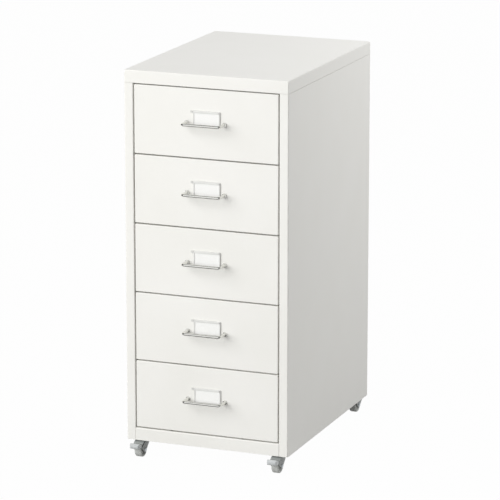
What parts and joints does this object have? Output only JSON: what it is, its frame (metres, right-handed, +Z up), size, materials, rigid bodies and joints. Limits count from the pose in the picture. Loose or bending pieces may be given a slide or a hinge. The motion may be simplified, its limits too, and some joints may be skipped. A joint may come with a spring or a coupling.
{
  "type": "small metal drawer cabinet",
  "caption": "Narrow upright sheet-steel cabinet with a stack of shallow sliding drawers, bar pulls with label holders, and small swivel castors under its corners.",
  "frame": {"origin": "on the floor, under the middle of the whole cabinet's box", "axes": "+Z up; the drawers open towards -Y; +X is the cabinet's right side seen from the front"},
  "size_m": [0.28, 0.4154, 0.642],
  "materials": {
    "body_paint": "satin powder coat",
    "front_paint": "satin powder coat",
    "pull_chrome": "bright plated",
    "holder_steel": "pale enamel",
    "card": "plain card",
    "zinc_steel": "zinc plated",
    "castor_plastic": "moulded",
    "wheel_plastic": "moulded"
  },
  "bodies": {
    "cabinet": {"side_panel_left": "body_paint", "side_panel_right": "body_paint", "top_panel": "body_paint", "bottom_rail": "body_paint", "bottom_panel": "body_paint", "back_panel": "body_paint", "runner_rack_left": "body_paint", "runner_rack_right": "body_paint", "body_fasteners": "zinc_steel", "castor_kingpins": "zinc_steel", "castor_plate_front_left": "zinc_steel", "castor_plate_front_right": "zinc_steel", "castor_plate_rear_left": "zinc_steel", "castor_plate_rear_right": "zinc_steel"},
    "drawer_1": {"drawer_front_1": "front_paint", "drawer_tray_1": "body_paint", "drawer_pull_1": "pull_chrome", "pull_screws_1": "zinc_steel", "label_holder_1": "holder_steel", "label_card_1": "card"},
    "drawer_2": {"drawer_front_2": "front_paint", "drawer_tray_2": "body_paint", "drawer_pull_2": "pull_chrome", "pull_screws_2": "zinc_steel", "label_holder_2": "holder_steel", "label_card_2": "card"},
    "drawer_3": {"drawer_front_3": "front_paint", "drawer_tray_3": "body_paint", "drawer_pull_3": "pull_chrome", "pull_screws_3": "zinc_steel", "label_holder_3": "holder_steel", "label_card_3": "card"},
    "drawer_4": {"drawer_front_4": "front_paint", "drawer_tray_4": "body_paint", "drawer_pull_4": "pull_chrome", "pull_screws_4": "zinc_steel", "label_holder_4": "holder_steel", "label_card_4": "card"},
    "drawer_5": {"drawer_front_5": "front_paint", "drawer_tray_5": "body_paint", "drawer_pull_5": "pull_chrome", "pull_screws_5": "zinc_steel", "label_holder_5": "holder_steel", "label_card_5": "card"},
    "castor_swivel_front_left": {"castor_fork_front_left": "castor_plastic", "castor_axle_front_left": "zinc_steel"},
    "castor_roll_front_left": {"castor_wheel_front_left": "wheel_plastic"},
    "castor_swivel_front_right": {"castor_fork_front_right": "castor_plastic", "castor_axle_front_right": "zinc_steel"},
    "castor_roll_front_right": {"castor_wheel_front_right": "wheel_plastic"},
    "castor_swivel_rear_left": {"castor_fork_rear_left": "castor_plastic", "castor_axle_rear_left": "zinc_steel"},
    "castor_roll_rear_left": {"castor_wheel_rear_left": "wheel_plastic"},
    "castor_swivel_rear_right": {"castor_fork_rear_right": "castor_plastic", "castor_axle_rear_right": "zinc_steel"},
    "castor_roll_rear_right": {"castor_wheel_rear_right": "wheel_plastic"},
    "brake_front_left": {"brake_pedal_front_left": "castor_plastic"},
    "brake_front_right": {"brake_pedal_front_right": "castor_plastic"}
  },
  "joints": [
    {"name": "drawer_slide_1", "type": "slide", "parent": "cabinet", "child": "drawer_1", "axis": [0, -1, 0], "range_m": [0, 0.27]},
    {"name": "drawer_slide_2", "type": "slide", "parent": "cabinet", "child": "drawer_2", "axis": [0, -1, 0], "range_m": [0, 0.27]},
    {"name": "drawer_slide_3", "type": "slide", "parent": "cabinet", "child": "drawer_3", "axis": [0, -1, 0], "range_m": [0, 0.27]},
    {"name": "drawer_slide_4", "type": "slide", "parent": "cabinet", "child": "drawer_4", "axis": [0, -1, 0], "range_m": [0, 0.27]},
    {"name": "drawer_slide_5", "type": "slide", "parent": "cabinet", "child": "drawer_5", "axis": [0, -1, 0], "range_m": [0, 0.27]},
    {"name": "swivel_front_left", "type": "hinge", "parent": "cabinet", "child": "castor_swivel_front_left", "pos_m": [-0.1195, -0.16269, 0.0295], "axis": [0, 0, 1], "continuous": true},
    {"name": "wheel_front_left", "type": "hinge", "parent": "castor_swivel_front_left", "child": "castor_roll_front_left", "pos_m": [-0.1195, -0.17469, 0.0125], "axis": [1, 0, 0], "continuous": true},
    {"name": "swivel_front_right", "type": "hinge", "parent": "cabinet", "child": "castor_swivel_front_right", "pos_m": [0.1195, -0.16269, 0.0295], "axis": [0, 0, 1], "continuous": true},
    {"name": "wheel_front_right", "type": "hinge", "parent": "castor_swivel_front_right", "child": "castor_roll_front_right", "pos_m": [0.1195, -0.17469, 0.0125], "axis": [1, 0, 0], "continuous": true},
    {"name": "swivel_rear_left", "type": "hinge", "parent": "cabinet", "child": "castor_swivel_rear_left", "pos_m": [-0.1195, 0.18131, 0.0295], "axis": [0, 0, 1], "continuous": true},
    {"name": "wheel_rear_left", "type": "hinge", "parent": "castor_swivel_rear_left", "child": "castor_roll_rear_left", "pos_m": [-0.1195, 0.19331, 0.0125], "axis": [1, 0, 0], "continuous": true},
    {"name": "swivel_rear_right", "type": "hinge", "parent": "cabinet", "child": "castor_swivel_rear_right", "pos_m": [0.1195, 0.18131, 0.0295], "axis": [0, 0, 1], "continuous": true},
    {"name": "wheel_rear_right", "type": "hinge", "parent": "castor_swivel_rear_right", "child": "castor_roll_rear_right", "pos_m": [0.1195, 0.19331, 0.0125], "axis": [1, 0, 0], "continuous": true},
    {"name": "pedal_front_left", "type": "hinge", "parent": "castor_swivel_front_left", "child": "brake_front_left", "pos_m": [-0.1195, -0.18719, 0.02126], "axis": [1, 0, 0], "range_deg": [0, 12]},
    {"name": "pedal_front_right", "type": "hinge", "parent": "castor_swivel_front_right", "child": "brake_front_right", "pos_m": [0.1195, -0.18719, 0.02126], "axis": [1, 0, 0], "range_deg": [0, 12]}
  ]
}
